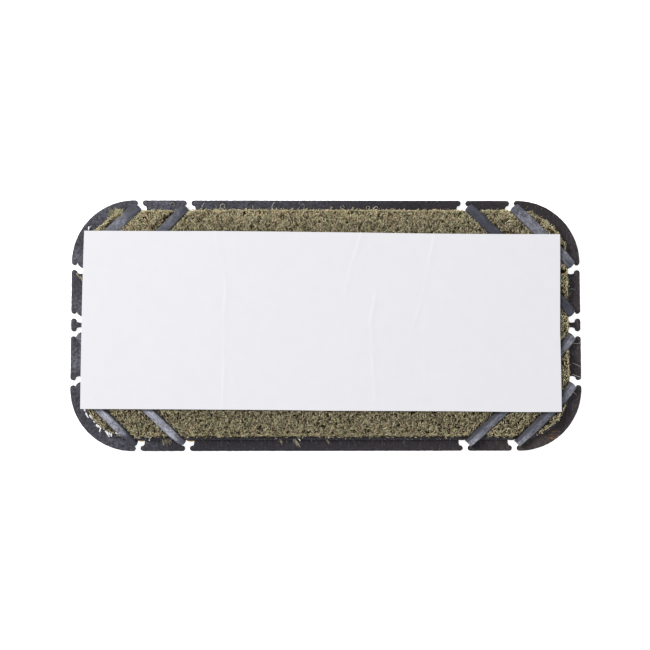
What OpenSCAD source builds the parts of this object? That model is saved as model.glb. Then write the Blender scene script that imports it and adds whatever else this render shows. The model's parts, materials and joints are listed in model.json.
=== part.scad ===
// Door mat: a rubber base with keyhole slots round its rim, a piece of tufted
// turf laid on it, eight rubber bands hooked round the corners through the
// keyholes, and a loose paper cover sheet lying on the pile.
// Millimetres, +Z up. The origin is on the floor under the middle of the mat;
// X runs along the long side and +Y points to the back edge.

/* [Base] */
// Length of the base along X
base_l = 750; // [600:10:900]
// Width of the base along Y
base_w = 370; // [370:5:500]
// Thickness of the rubber sheet
base_t = 5; // [4.5:0.5:8]
// Radius of the four corners
corner_r = 92; // [80:1:92]

/* [Keyholes] */
// Distance from the end of a rounded corner to its outer keyhole
slot_from_corner = 8; // [7.5:0.5:9]
// Distance between the outer and the inner keyhole of a corner
slot_pitch = 72; // [60:1:73]
// Radius of the round bulb of a keyhole
bulb_r = 9.5; // [9:0.1:10]
// Distance from the rim to the middle of the bulb
bulb_depth = 13.3; // [13:0.1:13.8]
// Width of the mouth between its two lips
mouth_w = 6.8; // [6:0.1:7.2]
// Radius of the two round lips, which stand into the bulb
lip_r = 4.1; // [3.8:0.1:4.3]

/* [Turf] */
// Gap between the rim and the turf along the long sides
turf_inset_y = 16; // [15:0.5:18]
// Gap between the rim and the turf along the short sides
turf_inset_x = 18; // [15:0.5:18]
// Thickness of the amber latex coat under the turf
latex_t = 0.8; // [0.5:0.1:1.5]
// Thickness of the white woven backing
backing_t = 0.8; // [0.5:0.1:1.5]
// Height of the pile above its backing
pile_h = 12; // [10:0.5:15]
// Bare strip of backing in front of the pile
margin_front = 5; // [3:0.5:6]
// Bare strip of backing behind the pile
margin_back = 1; // [0.5:0.5:3]
// Bare strip of backing at each end of the pile
margin_ends = 2; // [1:0.5:4]

/* [Bands] */
// Width of a band where it lies flat
band_w = 14.5; // [10:0.5:15]
// Thickness of a band
band_t = 2; // [1.5:0.1:2.2]
// Width of a band where it is bunched in a keyhole
leg_w = 8; // [6:0.5:8]
// Thickness of a band where it is bunched in a keyhole
leg_t = 3.2; // [2.5:0.1:3.2]
// How deep a band presses into the pile
band_press = 6; // [4:0.5:7]

/* [Cover sheet] */
// Length of the paper sheet along X
sheet_l = 700; // [600:1:710]
// Width of the paper sheet along Y
sheet_w = 261; // [250:1:270]
// Thickness of the paper sheet
sheet_t = 0.5; // [0.3:0.1:1]
// How far the sheet lies off the middle along X
sheet_dx = -7; // [-8:0.5:8]
// How far the sheet lies off the middle along Y
sheet_dy = 4.5; // [-8:0.5:8]
// How far the sheet is turned, in degrees
sheet_turn = -0.4; // [-1:0.1:1]

/* [Hidden] */

past = 1;                                   // how far a cutter runs past a face
sheet_gap = 0.3;                            // air between pile and sheet
groove_gap = 1;                             // air beside a band in its groove
groove_over = 0.3;                          // air over and under a band's lower run
taper_l = 10;                               // length over which a band narrows

outer_x = base_l / 2 - corner_r - slot_from_corner;
outer_y = base_w / 2 - corner_r - slot_from_corner;
inner_x = outer_x - slot_pitch;
inner_y = outer_y - slot_pitch;
turf_l = base_l - 2 * turf_inset_x;
turf_w = base_w - 2 * turf_inset_y;
turf_r = corner_r - (turf_inset_x + turf_inset_y) / 2;

backing_z = base_t + latex_t;
pile_z = backing_z + backing_t;
pile_top = pile_z + pile_h;
upper_z = pile_top - band_press;            // underside of a band's upper run
lower_z = 0.2;                              // underside of a band's lower run

// A band's leg stands in its keyhole at 45 degrees, just off the turf, near the corner's side.
turf_gap = 0.4;                             // air between a leg and the turf
leg_reach = (leg_w + leg_t) / 2 / sqrt(2);  // half of a leg's extent along X and along Y
leg_aside = 2;                              // leg's middle from the bulb's, towards the corner

lip_x = mouth_w / 2 + lip_r;                // a lip's middle from the middle of its keyhole

module rounded_rect(l, w, r) {
    square([l - 2 * r, w], center = true);
    square([l, w - 2 * r], center = true);
    for (x = [-1, 1], y = [-1, 1])
        translate([x * (l / 2 - r), y * (w / 2 - r)])
            circle(r = r, $fn = 128);
}

// One keyhole: its mouth is at the origin, and it runs inwards along -Y.
module keyhole() {
    difference() {
        union() {
            translate([0, -bulb_depth]) circle(r = bulb_r, $fn = 64);
            translate([-lip_x, -bulb_depth]) square([2 * lip_x, bulb_depth + past]);
        }
        for (x = [-1, 1])
            translate([x * lip_x, -lip_r]) circle(r = lip_r, $fn = 48);
    }
}

// The four keyholes of one long side and the four of one short side, on both sides.
module all_keyholes() {
    for (side = [0, 1], x = [-outer_x, -inner_x, inner_x, outer_x])
        mirror([0, side]) translate([x, base_w / 2]) keyhole();
    for (side = [0, 1], y = [-outer_y, -inner_y, inner_y, outer_y])
        mirror([side, 0]) translate([base_l / 2, y]) rotate(-90) keyhole();
}

// Where the legs of a band stand, in the back right corner: [long side, short side].
function leg_places(outer) =
    let (x = outer ? outer_x : inner_x, y = outer ? outer_y : inner_y)
    [[x + leg_aside, turf_w / 2 + turf_gap + leg_reach],
     [turf_l / 2 + turf_gap + leg_reach, y + leg_aside]];

// Draws its children with +X along a band's run, from one leg to the other.
module along_band(outer) {
    p = leg_places(outer);
    d = p[1] - p[0];
    translate(p[0]) rotate(atan2(d[1], d[0])) children();
}

function run_length(outer) = let (p = leg_places(outer)) norm(p[1] - p[0]);

// A band seen from above, with air round it: wide along its run, narrow at both keyholes.
module run_outline(length, air = 0) {
    end = leg_t / 2 + air;
    narrow = leg_w / 2 + air;
    wide = band_w / 2 + air;
    polygon([[-end, -narrow], [taper_l, -wide], [length - taper_l, -wide], [length + end, -narrow],
             [length + end, narrow], [length - taper_l, wide], [taper_l, wide], [-end, narrow]]);
}

// One closed band of the back right corner.
module band(outer) {
    length = run_length(outer);
    color("slategray") along_band(outer) {
        for (z = [lower_z, upper_z])
            translate([0, 0, z]) linear_extrude(band_t) run_outline(length);
        for (x = [0, length])
            translate([x - leg_t / 2, -leg_w / 2, lower_z])
                cube([leg_t, leg_w, upper_z + band_t - lower_z]);
    }
}

// The grooves of the back right corner, one round each band.
module grooves(z, height) {
    for (outer = [true, false])
        along_band(outer) translate([0, 0, z])
            linear_extrude(height) run_outline(run_length(outer), groove_gap);
}

module in_all_corners() {
    for (x = [0, 1], y = [0, 1])
        mirror([x, 0, 0]) mirror([0, y, 0]) children();
}

module rubber_base() {
    color("#2f2f35") difference() {
        linear_extrude(base_t) difference() {
            rounded_rect(base_l, base_w, corner_r);
            all_keyholes();
        }
        in_all_corners() grooves(-past, past + lower_z + band_t + groove_over);
    }
}

module turf_layer(z, height) {
    translate([0, 0, z]) linear_extrude(height) rounded_rect(turf_l, turf_w, turf_r);
}

module latex_coat() {
    color("#9a6a28") turf_layer(base_t, latex_t);
}

module woven_backing() {
    color("ivory") turf_layer(backing_z, backing_t);
}

module pile() {
    color("#7d7650") difference() {
        translate([0, (margin_front - margin_back) / 2, pile_z]) linear_extrude(pile_h)
            rounded_rect(turf_l - 2 * margin_ends, turf_w - margin_front - margin_back,
                         turf_r - margin_ends);
        in_all_corners() grooves(upper_z, band_press + past);
    }
}

module cover_sheet() {
    color("whitesmoke")
        translate([sheet_dx, sheet_dy, pile_top + sheet_gap]) rotate(sheet_turn)
            translate([-sheet_l / 2, -sheet_w / 2, 0]) cube([sheet_l, sheet_w, sheet_t]);
}

rubber_base();
latex_coat();
woven_backing();
pile();
mirror([1, 0, 0]) band(true);  // band_back_left_outer
mirror([1, 0, 0]) band(false);  // band_back_left_inner
band(true);  // band_back_right_outer
band(false);  // band_back_right_inner
rotate(180) band(true);  // band_front_left_outer
rotate(180) band(false);  // band_front_left_inner
mirror([0, 1, 0]) band(true);  // band_front_right_outer
mirror([0, 1, 0]) band(false);  // band_front_right_inner
cover_sheet();
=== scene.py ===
"""The looks of the door mat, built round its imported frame: metres, +Z up, +Y to the back edge."""
import json
import math

import bpy
import numpy as np
from mathutils import Matrix, Vector, geometry


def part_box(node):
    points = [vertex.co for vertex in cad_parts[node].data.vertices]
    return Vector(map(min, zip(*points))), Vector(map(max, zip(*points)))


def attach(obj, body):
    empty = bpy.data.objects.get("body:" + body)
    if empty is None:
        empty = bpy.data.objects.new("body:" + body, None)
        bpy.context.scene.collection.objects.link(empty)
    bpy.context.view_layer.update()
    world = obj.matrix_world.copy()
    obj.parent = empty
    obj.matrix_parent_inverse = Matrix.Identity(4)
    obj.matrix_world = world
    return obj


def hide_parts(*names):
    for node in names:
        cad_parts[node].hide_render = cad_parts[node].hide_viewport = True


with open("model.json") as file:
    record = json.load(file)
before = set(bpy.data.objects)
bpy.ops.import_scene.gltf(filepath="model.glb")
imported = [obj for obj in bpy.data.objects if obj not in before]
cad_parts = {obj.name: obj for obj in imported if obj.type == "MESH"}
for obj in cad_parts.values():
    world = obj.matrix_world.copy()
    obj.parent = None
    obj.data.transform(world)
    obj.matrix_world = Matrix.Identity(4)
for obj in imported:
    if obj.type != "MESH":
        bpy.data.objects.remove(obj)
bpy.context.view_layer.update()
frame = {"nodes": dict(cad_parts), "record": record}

MM = 0.001

# ---------------------------------------------------------------- places, from the frame
BASE_LO, BASE_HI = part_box("rubber_base")
LATEX_LO, LATEX_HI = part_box("latex_coat")
WEAVE_LO, WEAVE_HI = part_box("woven_backing")
PILE_LO, PILE_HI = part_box("pile")
SHEET_LO, SHEET_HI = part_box("cover_sheet")
HALF_L, HALF_W = BASE_HI.x, BASE_HI.y
OPENINGS = {o["name"]: np.mean(o["box_m"], axis=0) for o in frame["record"]["physics"]["openings"]}
OUTER_X = OPENINGS["mouth_back_right_outer"][0]
INNER_X = OPENINGS["mouth_back_right_inner"][0]
OUTER_Y = OPENINGS["mouth_right_back_outer"][1]
INNER_Y = OPENINGS["mouth_right_back_inner"][1]
BAND_NODES = sorted(n for n in frame["nodes"] if n.startswith("band_"))

# The base's outline, the turf's corners and the bands' legs, as in the CAD source
CORNER_R = 92 * MM
BULB_R = 9.5 * MM
BULB_DEPTH = 13.3 * MM
LIP_R = 4.1 * MM
LIP_X = 7.5 * MM
TURF_R = 75 * MM
PILE_R = 73 * MM
LEG_REACH = 3.96 * MM
BAND_T = 2 * MM
GROOVE_DEPTH = 2.5 * MM

BAND_WIDTH = 14.2 * MM
PILE_H = PILE_HI.z - PILE_LO.z
PILE_MID = ((PILE_HI.x + PILE_LO.x) / 2, (PILE_HI.y + PILE_LO.y) / 2)
PILE_HALF = ((PILE_HI.x - PILE_LO.x) / 2, (PILE_HI.y - PILE_LO.y) / 2)
# The middles of the pile's left corners: their x, and the y of the front and of the back one
LEFT_BEND, FRONT_BEND, BACK_BEND = PILE_LO.x + PILE_R, PILE_LO.y + PILE_R, PILE_HI.y - PILE_R


# ---------------------------------------------------------------- numbers and curves
def rng(seed):
    """A stream of random draws of its own, the same in every run."""
    return np.random.default_rng(seed)


def unit(value):
    """A value held between 0 and 1."""
    return np.clip(value, 0, 1)


def eased(share):
    """0 to 1 with a soft start and a soft end."""
    return share * share * (3 - 2 * share)


def bell(away, width):
    """1 where away is 0, falling off on both sides."""
    return np.exp(-(away / width) ** 2)


def heading(angle):
    """The flat unit vector at an angle in radians."""
    return np.array([math.cos(angle), math.sin(angle)])


def wander(t, period, seed):
    """Smooth random values from -1 to 1 along t, with a new one every period."""
    knots = rng(seed).uniform(-1, 1, 1024)
    place = np.asarray(t) / period
    whole = np.floor(place).astype(int)
    part = eased(place - whole)
    return knots[whole % 1024] * (1 - part) + knots[(whole + 1) % 1024] * part


def relief(x, y, period, seed):
    """Smooth random values from -1 to 1 over the plane."""
    knots = rng(seed).uniform(-1, 1, (64, 64))
    u, v = np.asarray(x) / period, np.asarray(y) / period
    i, j = np.floor(u).astype(int), np.floor(v).astype(int)
    a, b = eased(u - i), eased(v - j)
    near = knots[i % 64, j % 64] * (1 - a) + knots[(i + 1) % 64, j % 64] * a
    far = knots[i % 64, (j + 1) % 64] * (1 - a) + knots[(i + 1) % 64, (j + 1) % 64] * a
    return near * (1 - b) + far * b


def arc(centre, radius, start, end, step=1.2 * MM):
    """Points along an arc, from one angle to another in degrees, both ends included."""
    count = max(4, int(abs(math.radians(end - start)) * radius / step))
    angles = np.radians(np.linspace(start, end, count + 1))
    return np.array(centre) + radius * np.stack([np.cos(angles), np.sin(angles)], 1)


def closed_steps(points):
    """The length of each edge of a closed outline."""
    return np.linalg.norm(np.roll(points, -1, 0) - points, axis=1)


def resampled(points, step):
    """A closed outline with its long edges split, so that none is longer than step."""
    out = []
    for p, q, length in zip(points, np.roll(points, -1, 0), closed_steps(points)):
        if length < 1e-6:
            continue
        pieces = max(1, int(math.ceil(length / step)))
        out.extend(p + (q - p) * k / pieces for k in range(pieces))
    return np.array(out)


def outward(points):
    """The unit normals of a counter-clockwise outline."""
    along = np.roll(points, -1, 0) - np.roll(points, 1, 0)
    along /= np.linalg.norm(along, axis=1, keepdims=True)
    return np.stack([along[:, 1], -along[:, 0]], 1)


def rounded_outline(half_l, half_w, radius):
    """A rounded rectangle's outline, counter-clockwise from the front right corner."""
    corners = enumerate([(1, -1), (1, 1), (-1, 1), (-1, -1)])
    return np.concatenate([arc((x * (half_l - radius), y * (half_w - radius)), radius, 90 * k - 90, 90 * k)
                           for k, (x, y) in corners])


def keyhole(s):
    """A keyhole's outline from lip to lip. s runs along the rim, and the second number inwards."""
    down = BULB_DEPTH - LIP_R
    span = math.hypot(LIP_X, down)
    near = (LIP_R ** 2 - BULB_R ** 2 + span ** 2) / (2 * span)
    lip_end = math.atan2(down, LIP_X) + math.acos(near / LIP_R)
    meet_x, meet_y = LIP_R * math.cos(lip_end) - LIP_X, LIP_R * math.sin(lip_end) + LIP_R
    tilt = math.degrees(math.atan2(BULB_DEPTH - meet_y, -meet_x))
    lip_end = math.degrees(lip_end)
    return np.concatenate([
        arc((s - LIP_X, LIP_R), LIP_R, -90, lip_end, 0.7 * MM),
        arc((s, BULB_DEPTH), BULB_R, 180 + tilt, -tilt)[1:-1],
        arc((s + LIP_X, LIP_R), LIP_R, 180 - lip_end, 270, 0.7 * MM)])


def base_outline():
    """The base's rim, counter-clockwise from the front left, with its sixteen keyholes."""
    sides = []
    for turn in range(4):
        half, reach = (HALF_L, HALF_W) if turn % 2 == 0 else (HALF_W, HALF_L)
        outer, inner = (OUTER_X, INNER_X) if turn % 2 == 0 else (OUTER_Y, INNER_Y)
        side = np.concatenate([[[CORNER_R - half, 0]], *map(keyhole, (-outer, -inner, inner, outer)),
                               arc((half - CORNER_R, CORNER_R), CORNER_R, -90, 0)])
        along = heading(turn * math.pi / 2)
        out = np.array([along[1], -along[0]])
        sides.append(side[:, :1] * along + (reach - side[:, 1:]) * out)
    return resampled(np.concatenate(sides), 1.3 * MM)


def pile_edge(x, y):
    """How far points lie inside the pile's edge, and the way straight out to it."""
    x, y = x - PILE_MID[0], y - PILE_MID[1]
    qx = np.abs(x) - (PILE_HALF[0] - PILE_R)
    qy = np.abs(y) - (PILE_HALF[1] - PILE_R)
    corner = (qx > 0) & (qy > 0)
    far = np.maximum(np.hypot(qx, qy), 1e-9)
    gap = PILE_R - np.where(corner, far, np.maximum(qx, qy))
    out_x = np.where(corner, qx / far, (qx >= qy).astype(float)) * np.sign(x)
    out_y = np.where(corner, qy / far, (qx < qy).astype(float)) * np.sign(y)
    return gap, out_x, out_y


def inside(points, outline):
    """Which points lie inside a closed outline."""
    odd = np.zeros(len(points), bool)
    for (x0, y0), (x1, y1) in zip(outline, np.roll(outline, -1, 0)):
        if y0 == y1:
            continue
        crosses = (points[:, 1] < y0) != (points[:, 1] < y1)
        odd ^= crosses & (points[:, 0] < x0 + (points[:, 1] - y0) * (x1 - x0) / (y1 - y0))
    return odd


# ---------------------------------------------------------------- meshes
def add_object(name, data):
    """An object in the scene from its mesh, lamp or camera."""
    made = bpy.data.objects.new(name, data)
    bpy.context.scene.collection.objects.link(made)
    return made


def new_piece(name, verts, faces, node, body="mat"):
    """A piece riding on a body and standing for a CAD node.

    faces is a list of faces, or all their corners in a row with the number of corners of each.
    """
    mesh = bpy.data.meshes.new(name)
    if isinstance(faces, tuple):
        corners, sizes = faces
    else:
        corners = np.concatenate([np.asarray(f) for f in faces])
        sizes = np.array([len(f) for f in faces])
    mesh.vertices.add(len(verts))
    mesh.vertices.foreach_set("co", np.asarray(verts, np.float32).ravel())
    mesh.loops.add(len(corners))
    mesh.loops.foreach_set("vertex_index", corners.astype(np.int32))
    mesh.polygons.add(len(sizes))
    starts = np.concatenate([[0], np.cumsum(sizes)[:-1]])
    mesh.polygons.foreach_set("loop_start", starts.astype(np.int32))
    mesh.polygons.foreach_set("use_smooth", np.full(len(sizes), True))
    mesh.update(calc_edges=True)
    mesh.validate()
    piece = add_object(name, mesh)
    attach(piece, body)
    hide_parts(node)
    return piece


def cap_mesh(outline, spacing, edge_spacing, edge_depth):
    """Triangles that fill an outline, small near its edge and larger in the middle."""
    lo, hi = outline.min(0), outline.max(0)
    grids = []
    for step, near in ((edge_spacing, True), (spacing, False)):
        x, y = np.meshgrid(np.arange(lo[0], hi[0], step), np.arange(lo[1], hi[1], step))
        grid = np.stack([x.ravel(), y.ravel()], 1)
        grid += rng(3).uniform(-0.3, 0.3, grid.shape) * step
        to_side = np.minimum(grid - lo, hi - grid).min(1)
        corner = np.abs(grid) - (hi - CORNER_R)
        in_corner = (corner > 0).all(1)
        to_side = np.where(in_corner, CORNER_R - np.hypot(*corner.T), to_side)
        grids.append(grid[(to_side < edge_depth) == near])
    fill = np.concatenate(grids)
    fill = fill[inside(fill, outline)]
    clear = np.full(len(fill), np.inf)
    for chunk in np.array_split(outline, 40):
        gaps = np.linalg.norm(fill[:, None] - chunk[None], axis=2).min(1)
        clear = np.minimum(clear, gaps)
    fill = fill[clear > 0.55 * edge_spacing]
    points = [Vector(p) for p in np.concatenate([outline, fill])]
    made = geometry.delaunay_2d_cdt(points, [], [list(range(len(outline)))], 1, 1e-9)
    coords = np.array([tuple(v) for v in made[0]])
    source = np.array([o[0] for o in made[3]])
    return coords, np.array(made[2]), source


def slab(name, outline, z_low, z_high, node, bevel, grid, surface=None, ragged=None):
    """A flat solid with rounded edges.

    grid is the size of its triangles in the middle and near its edge, and how far in the small
    ones reach, in millimetres. surface moves its top face, given x and y, and ragged the middle of
    its rim.
    """
    normals = outward(outline)
    low_side = outline if ragged is None else outline + normals * ragged[:, None]
    rings = [(outline - normals * bevel * 0.7, z_low), (outline, z_low + bevel * 0.7),
             (low_side, (z_low + z_high) / 2), (outline - normals * bevel * 0.3, z_high - bevel * 0.3),
             (outline - normals * bevel, z_high)]
    count = len(outline)
    verts = [np.column_stack([points, np.full(count, z)]) for points, z in rings]
    faces = []
    index = np.arange(count)
    following = np.roll(index, -1)
    for low in range(0, (len(rings) - 1) * count, count):
        high = low + count
        faces.extend(np.stack([index + low, following + low, following + high, index + high], 1).tolist())
    total = len(rings) * count
    for ring, up in ((0, False), (len(rings) - 1, True)):
        points, z = rings[ring]
        coords, triangles, source = cap_mesh(points, *(size * MM for size in grid))
        target = np.where(source < count, source + ring * count, -1)
        extra = np.flatnonzero(target < 0)
        target[extra] = total + np.arange(len(extra))
        heights = np.full(len(extra), z)
        if up and surface is not None:
            heights = heights + surface(*coords[extra].T)
        verts.append(np.column_stack([coords[extra], heights]))
        total += len(extra)
        faces.extend(target[triangles if up else triangles[:, ::-1]].tolist())
    return new_piece(name, np.concatenate(verts), faces, node)


def set_colours(mesh, name, values):
    """A colour for each vertex, which its material reads by name."""
    layer = mesh.color_attributes.new(name, "FLOAT_COLOR", "POINT")
    rgba = np.column_stack([values, np.ones(len(values))])
    layer.data.foreach_set("color", rgba.astype(np.float32).ravel())


def set_vectors(mesh, name, values):
    """A vector for each vertex, which its material reads by name."""
    layer = mesh.attributes.new(name, "FLOAT_VECTOR", "POINT")
    layer.data.foreach_set("vector", np.asarray(values, np.float32).ravel())


def fibre_mesh(paths, width, thickness, seed, taper, flat):
    """Closed three-sided blades, one along each row of paths (count, rings, 3)."""
    count, rings = paths.shape[:2]
    draw = rng(seed)
    tangent = np.gradient(paths, axis=1)
    tangent /= np.maximum(np.linalg.norm(tangent, axis=2, keepdims=True), 1e-9)
    aside = draw.normal(size=(count, 1, 3)) + flat * np.cross(tangent, [0, 0, 1.0])
    aside -= tangent * (aside * tangent).sum(2, keepdims=True)
    aside /= np.maximum(np.linalg.norm(aside, axis=2, keepdims=True), 1e-9)
    over = np.cross(tangent, aside)
    over *= np.where(over[:, :, 2:] < 0, -1, 1)
    t = np.linspace(0, 1, rings)[None, :, None]
    half = (np.reshape(width, (-1, 1, 1)) / 2) * (1 - taper * t * t)
    tall = thickness * (1 - 0.4 * t)
    verts = np.stack([paths - aside * half, paths + aside * half, paths + over * tall], 2)
    corner = np.arange(3)
    ring = np.arange(rings - 1)[:, None] * 3
    sides = np.stack([ring + corner, ring + (corner + 1) % 3,
                      ring + 3 + (corner + 1) % 3, ring + 3 + corner], 2).reshape(-1, 4)
    ends = np.array([[2, 1, 0], corner + 3 * (rings - 1)])
    pattern = np.concatenate([sides.ravel(), ends.ravel()])
    sizes = np.concatenate([np.full(len(sides), 4), [3, 3]])
    corners = (np.arange(count)[:, None] * rings * 3 + pattern[None]).ravel()
    return verts.reshape(-1, 3), corners, np.tile(sizes, count), pattern


def add_bake_cells(mesh, count, pattern, rings):
    """Gives each blade its own cell of a texture, with its length up the cell."""
    across = int(math.ceil(math.sqrt(count)))
    u = 0.2 + 0.3 * (pattern % 3)
    v = 0.15 + 0.7 * (pattern // 3) / (rings - 1)
    cell = np.arange(count)
    uv = np.stack([((cell % across)[:, None] + u[None]) / across,
                   ((cell // across)[:, None] + v[None]) / across], 2)
    layer = mesh.uv_layers.new(name="OFBake")
    layer.data.foreach_set("uv", uv.astype(np.float32).ravel())


def fibre_piece(name, paths, width, thickness, colours, node, seed,
                taper=0.45, root_shade=0.5, flat=0.0, climb=1.0):
    """A piece of many blades, each with its own colour.

    Painted shade makes a blade root_shade times as bright at its root, and climb keeps it going higher.
    """
    count, rings = paths.shape[:2]
    verts, corners, sizes, pattern = fibre_mesh(paths, width, thickness, seed, taper, flat)
    piece = new_piece(name, verts, (corners, sizes), node)
    t = np.linspace(0, 1, rings)[None, :, None, None]
    # Painted shade towards each blade's root, and a painted highlight at its tip
    shade = root_shade + (1 - root_shade) * unit(t * 1.35) ** climb + 0.15 * t ** 3
    shaded = colours[:, None, None, :] * shade * np.ones((1, 1, 3, 1))
    set_colours(piece.data, "fibre", shaded.reshape(-1, 3))
    add_bake_cells(piece.data, count, pattern, rings)
    return piece


# ---------------------------------------------------------------- materials
class Shader:
    """A node material with one Principled surface."""

    def __init__(self, name, roughness, specular):
        self.material = bpy.data.materials.new(name)
        self.material.use_nodes = True
        self.tree = self.material.node_tree
        self.surface = self.tree.nodes["Principled BSDF"]
        self.surface.inputs["Roughness"].default_value = roughness
        self.surface.inputs["Specular IOR Level"].default_value = specular

    def add(self, kind, settings=None, **inputs):
        """A node with its inputs fed, by name, or by number as i0, i1 and so on."""
        made = self.tree.nodes.new("ShaderNode" + kind)
        for key, value in (settings or {}).items():
            setattr(made, key, value)
        for key, value in inputs.items():
            self.feed(made.inputs[int(key[1:]) if key[0] == "i" and key[1:].isdigit() else key], value)
        return made

    def feed(self, socket, value):
        """Links a socket to a value's own socket, or sets it to a number or a colour."""
        if isinstance(value, bpy.types.NodeSocket):
            self.tree.links.new(value, socket)
        else:
            socket.default_value = value

    def place(self):
        """Places in the piece's own axes, in metres."""
        return self.add("TexCoord").outputs["Object"]

    def attribute(self, name, output="Color"):
        """What is stored at each vertex under a name."""
        return self.add("Attribute", {"attribute_name": name}).outputs[output]

    def axes(self, vector):
        """The three numbers of a vector."""
        return self.add("SeparateXYZ", Vector=vector).outputs

    def noise(self, where, scale, detail=4.0, roughness=0.6, stretch=None):
        """Cloudy values round 0.5. stretch scales the places along each axis."""
        if stretch:
            where = self.add("Mapping", Vector=where, Scale=stretch).outputs["Vector"]
        return self.add("TexNoise", Vector=where, Scale=scale, Detail=detail,
                        Roughness=roughness).outputs["Fac"]

    def step(self, value, low, high, to_low=0.0, to_high=1.0):
        """Goes from to_low to to_high as the value goes from low to high."""
        made = self.add("MapRange", Value=value)
        for key, number in (("From Min", low), ("From Max", high), ("To Min", to_low), ("To Max", to_high)):
            made.inputs[key].default_value = number
        return made.outputs["Result"]

    def math(self, kind, a, b=0.0):
        """Arithmetic on two values."""
        return self.add("Math", {"operation": kind}, i0=a, i1=b).outputs[0]

    def plus(self, a, b):
        """The sum of two values."""
        return self.math("ADD", a, b)

    def times(self, a, b):
        """The product of two values."""
        return self.math("MULTIPLY", a, b)

    def near(self, value, centre, reach):
        """1 close to a place on an axis, and 0 from reach away."""
        away = self.math("ABSOLUTE", self.math("SUBTRACT", value, centre))
        return self.step(away, reach, 3 * MM)

    def mix(self, factor, a, b):
        """Goes from colour a to colour b as the factor goes from 0 to 1."""
        made = self.add("Mix", {"data_type": "RGBA"})
        for number, value in ((0, factor), (6, a), (7, b)):
            self.feed(made.inputs[number], value)
        return made.outputs[2]

    def colour(self, value):
        """The surface's colour."""
        self.feed(self.surface.inputs["Base Color"], value)

    def rough(self, value):
        """The surface's roughness, from 0 to 1."""
        self.feed(self.surface.inputs["Roughness"], value)

    def bump(self, height, strength, distance):
        """Small relief, whose height is given, and how deep it is in metres."""
        made = self.add("Bump", Height=height, Strength=strength, Distance=distance)
        self.tree.links.new(made.outputs["Normal"], self.surface.inputs["Normal"])


def srgb(r, g, b):
    """A linear colour, with alpha, from the usual 0 to 255 numbers."""
    def linear(c):
        c /= 255
        return c / 12.92 if c < 0.04045 else ((c + 0.055) / 1.055) ** 2.4
    return (linear(r), linear(g), linear(b), 1.0)


def tint(r, g, b):
    """A linear colour without alpha, for colours that are worked out."""
    return np.array(srgb(r, g, b)[:3])


# Pale patches on the left of the base: x and y of each, where it is full and where it ends, and
# how strong it is
PALE_PATCHES = [(-0.285, -0.172, 0.03, 0.065, 0.4), (-0.368, -0.052, 0.004, 0.022, 1.2),
                (-0.364, 0.101, 0.004, 0.018, 0.9), (-0.365, 0.03, 0.003, 0.014, 0.8)]
RUST_X, RUST_Y = 0.333, -0.163


def base_rubber():
    """Black sheet rubber, dusty towards the back left and paler on the left from dust and a painted sheen,
    with rusty marks at the front right.
    """
    m = Shader("base_rubber_dusty", 0.75, 0.3)
    where = m.place()
    x, y = m.axes(where)[:2]
    broad = m.noise(where, 24, 5, 0.65)
    mottle = m.noise(where, 240, 4, 0.6)
    bloom = m.noise(where, 380, 4, 0.65, (1.0, 1.3, 1.0))
    fine = m.noise(where, 620, 4, 0.7)
    speck = m.noise(where, 1000, 2, 0.6)
    wiped = m.noise(where, 420, 3, 0.6, (1.0, 0.12, 1.0))
    drift = m.noise(where, 70, 4, 0.65, (1.0, 0.5, 1.0))
    scratches = m.noise(where, 300, 3, 0.6, (0.5, 2.2, 1.0))
    at_back = m.step(y, 0.1, 0.17)

    def patch(at_x, at_y, core, edge, strength):
        here = (at_x, at_y, BASE_HI.z)
        away = m.add("VectorMath", {"operation": "DISTANCE"}, i0=where, i1=here).outputs["Value"]
        return m.step(away, core, edge, strength, 0.0)

    # Paler towards the left: dust and a painted sheen
    left_dust_and_sheen = m.step(x, -0.22, -0.34, 0.0, 0.57)
    back_side = m.times(at_back, m.step(x, 0.12, -0.26, -0.03, 1.15))
    amount = m.math("MAXIMUM", left_dust_and_sheen, back_side)
    for place in PALE_PATCHES:
        amount = m.plus(amount, patch(*place))
    cloud = m.step(m.plus(m.times(broad, 0.7), m.times(mottle, 0.6)), 0.45, 0.85)
    dust = m.times(m.plus(0.04, amount), m.plus(0.25, cloud))
    rough_patches = m.plus(0.12, m.times(back_side, 0.35))
    near_rust = m.times(m.near(x, RUST_X, 11 * MM), m.near(y, RUST_Y, 9 * MM))
    rust = m.mix(m.step(fine, 0.45, 0.6), srgb(128, 84, 50), srgb(178, 140, 108))

    # What lies on the rubber, from the lowest layer up, its dust carrying a painted sheen on the left: how
    # much of it, and its colour
    layers = [(m.step(m.math("ABSOLUTE", x), 0.345, 0.362, 0.0, 0.24), srgb(86, 80, 86)),
              (m.times(dust, 0.42), srgb(125, 126, 141)),
              (patch(0.3, -0.17, 0.02, 0.06, 0.22), srgb(118, 104, 90)),
              (m.step(mottle, 0.40, 0.62, 0.65, 0.0), srgb(13, 12, 14)),
              (m.times(m.step(drift, 0.42, 0.56, 0.45, 0.0), at_back), srgb(24, 22, 26)),
              (m.times(m.step(bloom, 0.5, 0.72), rough_patches), srgb(122, 120, 132)),
              (m.step(fine, 0.52, 0.72, 0.0, 0.22), srgb(112, 112, 118)),
              (m.step(wiped, 0.56, 0.74, 0.0, 0.2), srgb(128, 126, 134)),
              (m.step(speck, 0.70, 0.76, 0.0, 0.5), srgb(140, 140, 146)),
              (m.times(near_rust, m.step(scratches, 0.5, 0.62, 0.0, 0.75)), rust)]
    # Brownish black on the right, bluer on the left, the blue partly a painted sheen
    colour = m.mix(m.step(x, 0.36, -0.2), srgb(43, 34, 37), srgb(33, 30, 39))
    for share, tone in layers:
        colour = m.mix(share, colour, tone)
    m.colour(colour)
    m.rough(m.step(m.plus(broad, mottle), 0.7, 1.3, 0.62, 0.9))
    m.bump(m.plus(m.times(mottle, 0.5), m.times(fine, 0.5)), 0.7, 0.5 * MM)
    return m.material


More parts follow.
